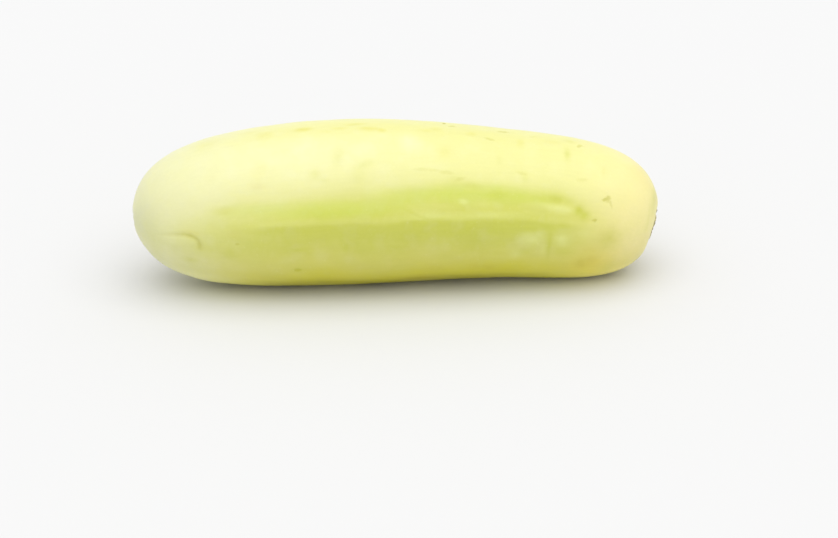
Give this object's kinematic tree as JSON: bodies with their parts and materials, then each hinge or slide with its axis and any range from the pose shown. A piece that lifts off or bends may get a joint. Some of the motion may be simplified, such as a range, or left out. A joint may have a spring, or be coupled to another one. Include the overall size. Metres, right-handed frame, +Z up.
{
  "type": "cucumber",
  "caption": "Whole pale slicing cucumber, as picked, lying on its side, with a smooth yellow-green rind, faint ribs and a stem scar.",
  "frame": {"origin": "middle of the base, on the surface that the cucumber lies on", "axes": "+X along the fruit from the blossom end to the stem end, +Z up, and -Y is the side that both ends bow towards"},
  "size_m": [0.182, 0.0568, 0.0561],
  "materials": {
    "rind": "waxy satin rind, pale yellow-green with a whiter blossom end, a creamier stem end and faint lengthwise streaks"
  },
  "bodies": {
    "root": {"cucumber": "rind"}
  },
  "joints": []
}
